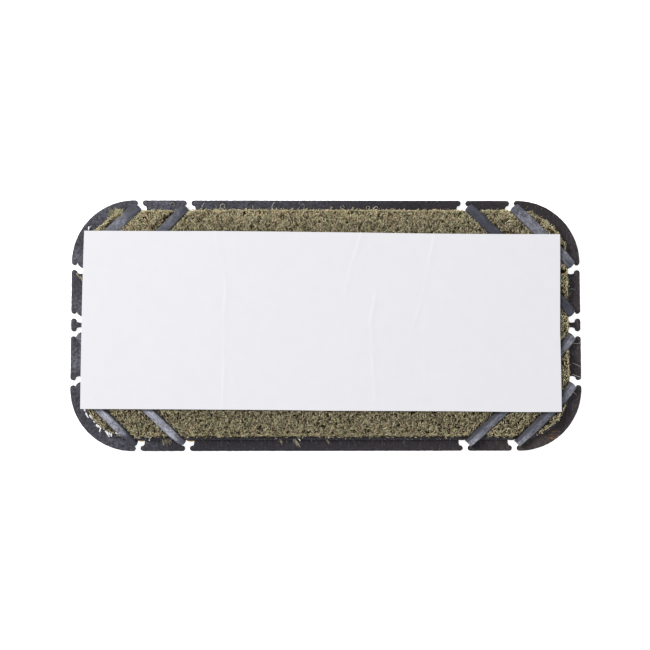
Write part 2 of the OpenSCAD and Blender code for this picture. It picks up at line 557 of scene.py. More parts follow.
def band_rubber(name, looks):
    """Inner-tube rubber with streaks of talc along and across it, wiped away near the keyholes."""
    m = Shader("band_rubber_" + name, 0.6, 0.35)
    strip = m.attribute("strip", "Vector")
    sideways = m.axes(strip)[1]
    to_end = m.axes(m.attribute("ends", "Vector"))[0]
    streak = m.noise(strip, 560, 3, 0.7, (0.5, 1.0, 1.0))
    cloud = m.noise(strip, 150, 4, 0.6, (0.7, 1.0, 1.0))
    longer = m.add("Mapping", Vector=strip, Scale=(0.55, 1.0, 1.0)).outputs["Vector"]
    wrinkle = m.add("TexVoronoi", {"feature": "DISTANCE_TO_EDGE"}, Vector=longer,
                    Scale=300).outputs["Distance"]
    talc = m.plus(m.times(streak, 0.65), m.times(cloud, 0.6))
    talc = m.math("SUBTRACT", talc, m.step(wrinkle, 0.0, 0.14, 0.16, 0.0))
    talc = m.math("SUBTRACT", talc, m.step(m.math("ABSOLUTE", sideways), 5.4 * MM, 7.0 * MM, 0.0, 0.08))
    amount = m.step(talc, 0.45, 0.75, 0.45 * looks["dust"], 1.6 * looks["dust"])
    worn = m.plus(to_end, m.step(cloud, 0.3, 0.7, -6 * MM, 6 * MM))
    over = looks["over"] * MM
    amount = m.times(amount, m.step(worn, 0.5 * over, over, looks["fade"], 1.0))
    # One edge is bare of talc, and its rubber there is darker: painted shade
    towards, beyond, left = looks["bare"]
    aside = m.plus(m.times(sideways, towards), m.step(cloud, 0.3, 0.7, -1.2 * MM, 1.2 * MM))
    unshaded_talc_side = m.step(aside, beyond * MM, (beyond + 2) * MM, 1.0, left)
    rubber = m.mix(m.step(cloud, 0.35, 0.65), srgb(38, 38, 46), srgb(58, 60, 73))
    # Painted shade: the rubber on the bare edge turns darker
    rubber = m.mix(unshaded_talc_side, srgb(30, 30, 38), rubber)
    m.colour(m.mix(m.times(amount, unshaded_talc_side), rubber, srgb(190, 192, 206)))
    m.rough(m.step(talc, 0.3, 0.9, 0.45, 0.85))
    m.bump(m.plus(streak, m.step(wrinkle, 0.0, 0.2, 0.0, 0.5)), 0.55, 0.45 * MM)
    return m.material


def cut_rubber():
    """The fresh black edge where the inner tube was cut."""
    m = Shader("band_cut_edge", 0.5, 0.4)
    fine = m.noise(m.place(), 700, 4, 0.6)
    m.colour(m.mix(m.step(fine, 0.4, 0.7), srgb(22, 21, 24), srgb(38, 37, 41)))
    m.bump(fine, 0.3, 0.2 * MM)
    return m.material


def pile_yarn():
    """The blades' own colours, with brown flecks."""
    m = Shader("pile_yarn", 0.7, 0.15)
    fleck = m.noise(m.place(), 900, 2, 0.5)
    m.colour(m.mix(m.step(fleck, 0.35, 0.7, 0.0, 0.3), m.attribute("fibre"), srgb(72, 62, 40)))
    return m.material


def thatch_crust():
    """Felted roots and dirt, with painted shade darkening its hollows, and a few pale ends of backing."""
    m = Shader("pile_thatch", 0.9, 0.1)
    where = m.place()
    curl = m.noise(where, 700, 5, 0.7)
    fleck = m.noise(where, 420, 3, 0.6, (0.8, 1.3, 1.0))
    # Painted shade: darker in the hollows of the curls
    colour = m.mix(m.step(curl, 0.38, 0.62, 0.45, 0.0), m.attribute("fibre"), srgb(24, 20, 18))
    m.colour(m.mix(m.step(fleck, 0.64, 0.70, 0.0, 0.6), colour, srgb(128, 128, 140)))
    m.bump(curl, 0.9, 0.8 * MM)
    return m.material


def white_weave():
    """Slit-tape cloth: flat tapes crossing over and under, dark with dirt and painted shade but for patches
    along the front.
    """
    m = Shader("white_weave", 0.5, 0.4)
    where = m.place()
    warp, weft = (m.add("TexWave", {"bands_direction": way}, Vector=where, Scale=scale,
                        Distortion=0.6).outputs["Fac"] for way, scale in (("X", 130), ("Y", 190)))
    cross = m.times(warp, weft)
    white = m.mix(m.step(cross, 0.0, 0.4), srgb(150, 150, 158), srgb(222, 222, 230))
    front = m.step(m.axes(where)[1], -0.14, -0.155)
    clean_and_unshaded = m.times(front, m.step(m.noise(where, 300, stretch=(1.0, 2.0, 1.0)), 0.56, 0.66))
    # Dark with dirt and painted shade from the pile; the pale patches are toned to blue-grey, also painted
    # shade
    m.colour(m.mix(clean_and_unshaded, srgb(46, 44, 48), m.mix(0.4, white, srgb(110, 110, 128))))
    m.bump(cross, 0.5, 0.4 * MM)
    return m.material


def white_tape():
    """Loose tapes of the backing, faintly streaked."""
    m = Shader("white_tape", 0.45, 0.4)
    streak = m.noise(m.place(), 600, 3, 0.5, (1.0, 3.0, 1.0))
    m.colour(m.mix(m.step(streak, 0.35, 0.65, 0.15, 0.0), m.attribute("fibre"), srgb(190, 190, 200)))
    return m.material


def amber_latex():
    """Amber latex, patchy in its colour and in its gloss."""
    m = Shader("amber_latex", 0.35, 0.5)
    where = m.place()
    patch = m.noise(where, 150, 4, 0.6)
    m.colour(m.mix(m.step(patch, 0.35, 0.65), srgb(88, 62, 18), srgb(146, 112, 40)))
    m.rough(m.step(patch, 0.3, 0.7, 0.3, 0.55))
    m.bump(m.noise(where, 500, 3, 0.6), 0.4, 0.3 * MM)
    return m.material


def paper():
    """Plain white paper with a faint mottle."""
    m = Shader("white_paper", 0.55, 0.3)
    where = m.place()
    mottle = m.noise(where, 60, 5, 0.6)
    grain = m.noise(where, 1800, 3, 0.6)
    tone = m.mix(m.step(mottle, 0.3, 0.7), srgb(216, 216, 221), srgb(218, 218, 223))
    m.colour(m.mix(m.step(grain, 0.3, 0.7, 0, 0.25), tone, srgb(213, 213, 218)))
    m.rough(m.step(grain, 0.3, 0.7, 0.5, 0.62))
    m.bump(grain, 0.12, 0.06 * MM)
    return m.material


def dress(piece, *materials):
    """Gives a piece its materials, in the order of its material slots."""
    for material in materials:
        piece.data.materials.append(material)


# ---------------------------------------------------------------- the bands' places
# For each band: how dusty it is, the share of that dust left at its ends, and how many millimetres
# from them it thins; which edge is bare of dust and darkened with painted shade, from how many
# millimetres off the middle, and the share left there; how wide it is beside the others; its arch in
# degrees; how much its ends are squeezed and how far they are rolled, at the long side and at the
# short side; then in millimetres how far its middle bows towards the corner, and how far each end is
# drawn towards the corner and towards the rim. PLAIN_BAND holds where a band's own line doesn't say
# otherwise
PLAIN_BAND = dict(wide=1, squeeze=(0.1, 0.1), roll=(10, 10), drawn=(0, 0), out=(0, 0))
BAND_LOOKS = {
    "back_left_outer": dict(dust=0.23, fade=0.25, over=36, bare=(1, 5.6, 0.2), wide=1.12, arch=26,
                            squeeze=(0, 0), bow=3.4),
    "back_left_inner": dict(dust=0.12, fade=0.4, over=24, bare=(1, 5.2, 0.2), arch=26, squeeze=(0, 0),
                            roll=(0, 0), bow=0.0, drawn=(2.5, 0)),
    "back_right_outer": dict(dust=0.26, fade=0.4, over=16, bare=(-1, 5.0, 0.3), wide=1.14, arch=26, bow=1.8),
    "back_right_inner": dict(dust=0.02, fade=0.8, over=16, bare=(-1, 4.5, 0.3), arch=26, bow=4.2,
                             drawn=(4.5, 0.5)),
    "front_left_outer": dict(dust=0.50, fade=0.02, over=38, bare=(-1, 2.8, 0.05), wide=0.9, arch=42,
                             squeeze=(0.5, 0.1), roll=(100, 20), bow=2.6, drawn=(0.8, 0.5), out=(1.6, 1.5)),
    "front_left_inner": dict(dust=0.49, fade=0.25, over=18, bare=(-1, 3.2, 0.05), wide=0.95, arch=42,
                             squeeze=(0.4, 0.1), roll=(80, 20), bow=3.8, drawn=(3.4, 0), out=(0, 1.5)),
    # The front right bands keep more dust at their ends than in their middles: talc, and also a painted
    # highlight
    "front_right_outer": dict(dust=0.17, fade=1.8, over=24, bare=(1, 0.2, 0.35), arch=40,
                              squeeze=(0.3, 0.1), roll=(-110, -20), bow=2.8, drawn=(2.4, 1.5)),
    "front_right_inner": dict(dust=0.20, fade=1.7, over=24, bare=(1, 0.0, 0.3), arch=40,
                              squeeze=(0.2, 0.1), roll=(-110, -20), bow=5.0, drawn=(2.4, 1.5))}


def band_looks(node):
    """The looks of one band, by its CAD node."""
    return {**PLAIN_BAND, **BAND_LOOKS[node[len("band_"):]]}


def strap_ends(node):
    """Where a strap stands in its keyholes, by the long side and by the short side.

    These are its CAD legs' places, drawn a little further towards the corner and the rim.
    """
    lo, hi = (np.array(c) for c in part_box(node))
    right = 1 if "right" in node else -1
    back = 1 if "back" in node else -1
    near, far = np.minimum(abs(lo), abs(hi)) + LEG_REACH, np.maximum(abs(lo), abs(hi)) - LEG_REACH
    looks = band_looks(node)
    (long_way, short_way), (long_out, short_out) = looks["drawn"], looks["out"]
    return (np.array([right * (near[0] + long_way * MM), back * (far[1] + long_out * MM)]),
            np.array([right * (far[0] + short_out * MM), back * (near[1] + short_way * MM)]))


def strap_run(node):
    """A strap's start by the long side, the ways along it and to its left, and its length."""
    p, q = strap_ends(node)
    length = np.linalg.norm(q - p)
    along = (q - p) / length
    return p, along, np.array([-along[1], along[0]]), length


def band_bow(node, s):
    """How far a band's middle line stands off the straight line between its legs, leftwards."""
    p, _, aside, length = strap_run(node)
    towards_corner = np.sign(aside @ np.sign(p))
    return towards_corner * band_looks(node)["bow"] * MM * np.sin(np.pi * unit(s / length)) ** 0.8


def press_of_bands(x, y):
    """How far a point lies beside the nearest band's middle line, and the way away from it."""
    best = np.full(np.shape(x), 1.0)
    away_x, away_y = np.zeros_like(best), np.zeros_like(best)
    for node in BAND_NODES:
        p, along, aside, length = strap_run(node)
        rx, ry = x - p[0], y - p[1]
        s = rx * along[0] + ry * along[1]
        d = rx * aside[0] + ry * aside[1] - band_bow(node, s)
        over_end = np.maximum(np.maximum(-s, s - length), 0)
        gap = np.hypot(np.abs(d), over_end * 2)
        closer = gap < best
        best = np.where(closer, gap, best)
        away_x = np.where(closer, aside[0] * np.sign(d), away_x)
        away_y = np.where(closer, aside[1] * np.sign(d), away_y)
    return best, away_x, away_y


# ---------------------------------------------------------------- the rubber base
def make_base():
    """The base with its slightly ragged rim, a wavy top face and the bands' grooves below."""
    rim = base_outline()
    normals = outward(rim)
    run = np.cumsum(closed_steps(rim))
    into_slot = np.minimum(HALF_L - np.abs(rim[:, 0]), HALF_W - np.abs(rim[:, 1]))
    on_rim = unit(1 - into_slot / (3 * MM))
    straight = (np.abs(rim[:, 0]) < HALF_L - CORNER_R) | (np.abs(rim[:, 1]) < HALF_W - CORNER_R)
    bites = 0.6 - np.abs(np.sin(run / (2.7 * MM) + 1.5 * wander(run, 20 * MM, 11)))
    depth = (0.22 + 0.2 * wander(run, 30 * MM, 12)) * np.where(rim[:, 1] > 0, 1.0, 0.6)
    ragged = np.where(straight, on_rim * bites * depth, 0) + 0.14 * wander(run, 4 * MM, 13)
    rim = rim + normals * (np.clip(ragged, -0.6, 0.12) * MM)[:, None]

    def surface(x, y):
        return (0.12 * relief(x, y, 22 * MM, 14) + 0.05 * relief(x, y, 5 * MM, 15) - 0.15) * MM

    piece = slab("rubber_sheet_base", rim, BASE_LO.z, BASE_HI.z, "rubber_base",
                 0.7 * MM, (24, 4, 28), surface, 0.12 * MM * wander(run, 1.7 * MM, 16))
    cutter = groove_cutter()
    cut = piece.modifiers.new("grooves", "BOOLEAN")
    cut.operation = "DIFFERENCE"
    cut.solver = "EXACT"
    cut.object = cutter
    bpy.context.view_layer.update()
    mesh = bpy.data.meshes.new_from_object(piece.evaluated_get(bpy.context.evaluated_depsgraph_get()))
    piece.modifiers.clear()
    piece.data = mesh
    bpy.data.objects.remove(cutter)
    mesh.set_sharp_from_angle(angle=math.radians(50))
    dress(piece, base_rubber())


def groove_cutter():
    """Shallow prisms where the bands' lower runs bed into the underside."""
    verts, faces = [], []
    half, past, below = BAND_WIDTH / 2 + 1 * MM, 3.5 * MM, 2 * MM
    for node in BAND_NODES:
        p, q = strap_ends(node)
        _, along, aside, _ = strap_run(node)
        corners = [p - along * past - aside * half, q + along * past - aside * half,
                   q + along * past + aside * half, p - along * past + aside * half]
        first = len(verts)
        for z in (-below, GROOVE_DEPTH):
            verts.extend((*c, z) for c in corners)
        quads = [(3, 2, 1, 0), (4, 5, 6, 7), *((k, (k + 1) % 4, (k + 1) % 4 + 4, k + 4) for k in range(4))]
        faces.extend([tuple(first + i for i in f) for f in quads])
    mesh = bpy.data.meshes.new("groove_cutter")
    mesh.from_pydata(verts, [], faces)
    return add_object("groove_cutter", mesh)


# ---------------------------------------------------------------- the turf's layers
def near_keyholes(points, names, reach):
    """1 at the named keyholes, falling to 0 at a distance from them."""
    share = np.zeros(len(points))
    for name in names:
        away = np.hypot(*(points - OPENINGS[name][:2]).T)
        share = np.maximum(share, unit(1.6 - away / reach))
    return share


def make_layers():
    """The amber latex coat and the white woven backing, a little ragged at their cut edges."""
    outline = resampled(rounded_outline(LATEX_HI.x, LATEX_HI.y, TURF_R), 1.5 * MM)
    run = np.cumsum(closed_steps(outline))
    normals = outward(outline)
    grid = (40, 8, 16)
    swell = (0.25 * wander(run, 12 * MM, 21) + 0.2 * wander(run, 3 * MM, 22) - 0.7) * MM
    bare = near_keyholes(outline, ["bulb_front_left_outer", "bulb_front_left_inner"], 6 * MM)
    less = near_keyholes(outline, ["bulb_front_right_outer", "bulb_front_right_inner"], 6 * MM)
    latex = slab("latex_coat_layer", outline + normals * (swell + (2.6 * bare + 1.5 * less) * MM)[:, None],
                 LATEX_LO.z, LATEX_HI.z, "latex_coat", 0.2 * MM, grid)
    dress(latex, amber_latex())
    fray = (0.3 * wander(run, 6 * MM, 23) + 0.35 * wander(run, 2 * MM, 24) - 0.2) * MM
    weave = slab("woven_backing_cloth", outline + normals * fray[:, None],
                 WEAVE_LO.z, WEAVE_HI.z, "woven_backing", 0.2 * MM, grid)
    dress(weave, white_weave())


def make_thatch():
    """The felted roots of the tufts, which end in a dark crust on the bare margin of the backing."""
    inset = 0.9 * MM
    under = resampled(rounded_outline(WEAVE_HI.x - inset, WEAVE_HI.y - inset, TURF_R - inset), 1.6 * MM)
    run = np.cumsum(closed_steps(under))
    ragged = 0.5 * wander(run, 4 * MM, 27) + 0.35 * wander(run, 1.8 * MM, 28) - 0.3
    under = under + outward(under) * ragged[:, None] * MM

    def curls(x, y):
        bare = unit(1 - pile_edge(x, y)[0] / (1.5 * MM))
        rough = 1.1 * relief(x, y, 3 * MM, 25) + 0.8 * relief(x, y, 1.6 * MM, 26) - 1.0
        return (rough * (1 - 0.6 * bare) - 1.2 * bare) * MM

    thatch = slab("pile_thatch", under, PILE_LO.z, PILE_LO.z + 3.0 * MM, "pile", 0.9 * MM,
                  (3.2, 2.4, 9), curls)
    coords = np.empty(len(thatch.data.vertices) * 3, np.float32)
    thatch.data.vertices.foreach_get("co", coords)
    x, y = coords.reshape(-1, 3)[:, 0], coords.reshape(-1, 3)[:, 1]
    lit = unit(pile_edge(x, y)[0] / (1.6 * MM))[:, None]
    set_colours(thatch.data, "fibre", lit * tint(86, 75, 57) + (1 - lit) * tint(80, 76, 82))
    dress(thatch, thatch_crust())


# ---------------------------------------------------------------- the pile
# The colours of the yarn, and how many parts of each there are
YARNS = [((190, 178, 138), 5), ((170, 160, 118), 4), ((214, 202, 162), 3), ((146, 138, 98), 3),
         ((182, 156, 130), 3), ((230, 216, 176), 1), ((148, 154, 122), 2), ((112, 98, 74), 3)]
TUFT_PITCH = (3.2 * MM, 4.2 * MM)
EDGE_PITCH = 2.6 * MM
BLADES_EACH = 6
BLADE_RINGS = 4
BLADE_T = 0.35 * MM
BAND_PRESS = 6.6 * MM
PATCH_COLUMNS, PATCH_ROWS = 8, 2
# The strip of pile between the two back left bands: the least and the most of y - x in metres
BETWEEN_BANDS = (0.386, 0.440)


def yarn_colours(count, seed):
    """A colour for each blade, drawn from the yarns, with its own tone."""
    draw = rng(seed)
    shares = np.array([share for _, share in YARNS], float)
    tones = np.array([tint(*tone) for tone, _ in YARNS])
    picked = tones[draw.choice(len(YARNS), count, p=shares / shares.sum())]
    tone = 1.09 * np.exp(np.clip(draw.normal(0, 0.43, (count, 1)), -0.9, 0.8))
    return picked * tone * draw.uniform(0.96, 1.04, (count, 3)) * [0.98, 1.01, 1.13]


def held_below(colours, most):
    """Colours scaled down, with their hue kept, where they would be too bright."""
    peak = colours.max(1, keepdims=True)
    return colours * np.minimum(1, most / peak)


def painted_pile_light(roots):
    """Painted light: how much paler the blades are towards the pile's edges, most of all at the back."""
    x, y = roots[:, 0], roots[:, 1]
    gap, _, out_y = pile_edge(x, y)
    gap = gap / MM
    back = 0.85 + 0.25 * unit((28 - gap) / 8) + 1.0 * np.exp(-gap / 6)
    back = back + 1.2 * bell(gap - 4.5, 3) - 0.1 * bell(gap - 13, 3) - 1.0 * bell(gap, 1.8)
    front = 0.86 + 0.14 * unit((26 - gap) / 10) + 0.15 * np.exp(-gap / 2.5)
    side = 0.95 + 0.3 * np.exp(-gap / 4)
    tone = np.where(out_y > 0.3, back, np.where(out_y < -0.3, front, side))
    back_left = (x < LEFT_BEND) & (y > BACK_BEND + 20 * MM) & (gap < 34)
    front_left = (x < LEFT_BEND) & (y < FRONT_BEND - 20 * MM) & (gap < 18)
    between = (y - x > BETWEEN_BANDS[0]) & (y - x < BETWEEN_BANDS[1])
    return tone * np.where(back_left, 1.25, np.where(front_left, 1.5, 1)) * np.where(between, 1.3, 1)


def pile_ceiling(x, y):
    """How high the pile may stand: level under the sheet, and pressed down under the bands."""
    beside, _, _ = press_of_bands(x, y)
    pressed = PILE_H - BAND_PRESS
    slope = unit((beside - BAND_WIDTH / 2 - 0.4 * MM) / (3.2 * MM))
    margin = 4 * MM
    under_sheet = (x > SHEET_LO.x - margin) & (x < SHEET_HI.x + margin) \
        & (y > SHEET_LO.y - margin) & (y < SHEET_HI.y + margin)
    full = np.where(under_sheet, PILE_H + 0.1 * MM, PILE_H + 1.0 * MM)
    return pressed + (full - pressed) * slope


def edge_tufts(pitch, inset):
    """Places for the outermost tufts, in an even row just inside the pile's edge."""
    outline = rounded_outline(PILE_HALF[0] - inset, PILE_HALF[1] - inset, PILE_R - inset)
    row = resampled(outline, pitch) + PILE_MID
    steps = np.cumsum(closed_steps(row))
    picked = np.searchsorted(steps, np.arange(0, steps[-1], pitch))
    row = row[np.minimum(picked, len(row) - 1)] + rng(30).normal(0, 0.35, (len(picked), 2)) * MM
    return row[:, 0], row[:, 1]


def tuft_places(draw):
    """Where the tufts stand: in staggered rows, with one even row along the edge."""
    pitch_x, pitch_y = TUFT_PITCH
    x, y = np.meshgrid(np.arange(PILE_LO.x, PILE_HI.x, pitch_x), np.arange(PILE_LO.y, PILE_HI.y, pitch_y))
    x[1::2] += pitch_x / 2
    x = x.ravel() + draw.uniform(-0.22, 0.22, x.size) * pitch_x
    y = y.ravel() + draw.uniform(-0.3, 0.3, y.size) * pitch_y
    edge_x, edge_y = edge_tufts(EDGE_PITCH, EDGE_PITCH / 2)
    inner = pile_edge(x, y)[0] > EDGE_PITCH
    return np.concatenate([x[inner], edge_x]), np.concatenate([y[inner], edge_y])


def blade_reach(x, y, draw):
    """How far past the pile's edge each blade may stand.

    It is ragged along the front, and held back where the turf is worn: round the back left
    corner, at the back right corner, and along the back left and the right edges.
    """
    count = len(x)
    stray = draw.uniform(0, 1, count) < 0.16
    reach = np.where(stray, draw.uniform(1.0, 3.4, count), draw.uniform(-1.0, 0.9, count)) * MM
    front = (y < PILE_LO.y + 20 * MM) & (np.abs(x) < 0.3)
    reach = reach * np.where(front, 1.6, 1)
    reach = reach + (0.9 + 0.9 * front) * MM * relief(x, y, 5 * MM, 34) - 2.4 * MM * front
    round_corner = np.degrees(np.arctan2(y - BACK_BEND, LEFT_BEND - x))
    worn = (bell(round_corner - 46, 12) + 1.3 * bell(round_corner - 81, 4.5)) * (x < LEFT_BEND)
    worn = worn + 0.6 * (x > PILE_HI.x - 52 * MM) * (y > PILE_HI.y - 48 * MM)
    back_left = (y > PILE_HI.y - 20 * MM) & (x < -0.19)
    return reach - 5.5 * MM * worn - 1.5 * MM * back_left - 1.0 * MM * (x > PILE_HI.x - 12 * MM)


def tuft_blades():
    """Every blade of the pile: its path, and the tuft's own tone."""
    draw = rng(31)
    x, y = tuft_places(draw)
    tufts = len(x)
    tone = np.repeat(draw.uniform(0.85, 1.17, tufts), BLADES_EACH)
    # A tuft leans to the back or to the front, mostly to the back in the back half, and outwards
    # at the edge
    backwards = draw.uniform(0, 1, tufts) < np.where(y > 0, 0.8, 0.5)
    ahead = np.where(backwards, 1, -1) * math.pi / 2 + draw.normal(0, 0.45, tufts)
    gap, out_x, out_y = pile_edge(x, y)
    edge = np.where(out_y < -0.5, 1.2, 1.8) * unit(1 - gap / (7 * MM))
    tuft_turn = np.arctan2(np.sin(ahead) + edge * out_y, np.cos(ahead) + edge * out_x)
    tuft_turn = np.repeat(tuft_turn, BLADES_EACH)
    tuft_lean = np.repeat(draw.uniform(0, 1, tufts), BLADES_EACH)
    x = np.repeat(x, BLADES_EACH) + draw.normal(0, 0.6, tufts * BLADES_EACH) * MM
    y = np.repeat(y, BLADES_EACH) + draw.normal(0, 0.9, tufts * BLADES_EACH) * MM
    # Fewer blades stand under the bands, and those beside one turn away from it
    beside, away_x, away_y = press_of_bands(x, y)
    keep = (beside > 7.3 * MM) | (draw.uniform(0, 1, len(x)) < 0.4)
    x, y, tone, tuft_turn, tuft_lean = x[keep], y[keep], tone[keep], tuft_turn[keep], tuft_lean[keep]
    beside, away_x, away_y = beside[keep], away_x[keep], away_y[keep]
    count = len(x)
    turn = tuft_turn + draw.normal(0, 0.6, count)
    shy = 0.8 * unit(1 - np.abs(beside - 8 * MM) / (4 * MM))
    turn = np.arctan2(np.sin(turn) + away_y * shy, np.cos(turn) + away_x * shy)
    # Each blade leans more from its root to its tip, most of all just behind the sheet
    leaning = unit((y - 0.125) / (12 * MM)) * unit((0.158 - y) / (8 * MM))
    start = np.radians(2 + 12 * tuft_lean + draw.uniform(0, 8, count) + 14 * leaning)
    end = np.radians(12 + 28 * tuft_lean + draw.uniform(0, 50, count) + 12 * leaning)
    curl = draw.normal(0, 0.5, count)
    length = draw.uniform(12.5, 16.5, count) * MM
    ceiling = pile_ceiling(x, y)
    length = np.minimum(length, ceiling * draw.uniform(1.15, 1.55, count))
    paths = np.zeros((count, BLADE_RINGS, 3))
    paths[:, 0] = np.column_stack([x, y, np.full(count, PILE_LO.z + 0.1 * MM)])
    for k in range(1, BLADE_RINGS):
        t = (k - 0.5) / (BLADE_RINGS - 1)
        lean = start + (end - start) * t
        facing = turn + curl * t
        way = np.column_stack([np.sin(lean) * np.cos(facing), np.sin(lean) * np.sin(facing), np.cos(lean)])
        paths[:, k] = paths[:, k - 1] + way * (length / (BLADE_RINGS - 1))[:, None]
    reach = blade_reach(x, y, draw)
    gap, out_x, out_y = pile_edge(paths[:, :, 0], paths[:, :, 1])
    share = np.linspace(0, 1, BLADE_RINGS)[None]
    past = np.maximum(-gap - reach[:, None] * share, 0)
    paths[:, :, 0] -= out_x * past
    paths[:, :, 1] -= out_y * past
    height = paths[:, :, 2] - PILE_LO.z
    squeeze = np.minimum(1, ceiling / height.max(1))
    height = height * squeeze[:, None]
    local = pile_ceiling(paths[:, :, 0], paths[:, :, 1]) - 0.3 * MM
    paths[:, :, 2] = PILE_LO.z + np.maximum(np.minimum(height, local), 0.1 * MM)
    return paths, tone


def make_pile():
    """The tufts, in sixteen patches. Returns their material."""
    paths, tone = tuft_blades()
    roots = paths[:, 0]
    along = (roots[:, 0] - PILE_LO.x) / (PILE_HI.x - PILE_LO.x)
    across = (roots[:, 1] - PILE_LO.y) / (PILE_HI.y - PILE_LO.y)
    column = np.clip((along * PATCH_COLUMNS).astype(int), 0, PATCH_COLUMNS - 1)
    row = np.clip((across * PATCH_ROWS).astype(int), 0, PATCH_ROWS - 1)
    # The blades' colours carry painted light, paler towards the pile's edges and most of all at the back
    colours = held_below(yarn_colours(len(paths), 33) * (tone * painted_pile_light(roots))[:, None], 0.8)
    width = rng(32).uniform(0.95, 1.5, len(paths)) * MM
    yarn = pile_yarn()
    for patch in range(PATCH_COLUMNS * PATCH_ROWS):
        mine = (row * PATCH_COLUMNS + column) == patch
        piece = fibre_piece(f"pile_tufts_{patch + 1:02d}", paths[mine], width[mine], BLADE_T, colours[mine],
                            "pile", 40 + patch, root_shade=0.22, climb=3.5)
        dress(piece, yarn)
    return yarn


# ---------------------------------------------------------------- the bands
def band_loop(length, top, bottom, seed):
    """The band's middle line, round one closed loop: distance along the run, and height."""
    over = 0.9 * MM
    round_top, round_low, sag = 3.6 * MM, 1.4 * MM, 1.3 * MM
    run = np.arange(round_top - over, length - round_top + over, 2.5 * MM)
    ease = unit(np.minimum(run, length - run) / (24 * MM))
    crown = top - sag * (1 - ease) ** 2 + 0.35 * MM * wander(run, 22 * MM, seed) * ease
    upper = np.column_stack([run, crown])
    shoulder = top - sag - round_top
    right = arc((length - round_top + over, shoulder), round_top, 84, 0, 0.8 * MM)
    right_low = arc((length - round_low - 0.6 * MM, bottom + round_low), round_low, 0, -90, 0.7 * MM)
    lower_run = np.arange(length - round_low - 4 * MM, round_low + 3 * MM, -6 * MM)
    lower = np.column_stack([lower_run, np.full(len(lower_run), bottom)])
    left_low = arc((round_low + 0.6 * MM, bottom + round_low), round_low, -90, -180, 0.7 * MM)
    left = arc((round_top - over, shoulder), round_top, 180, 96, 0.8 * MM)
    return np.concatenate([upper, right, right_low, lower, left_low, left])


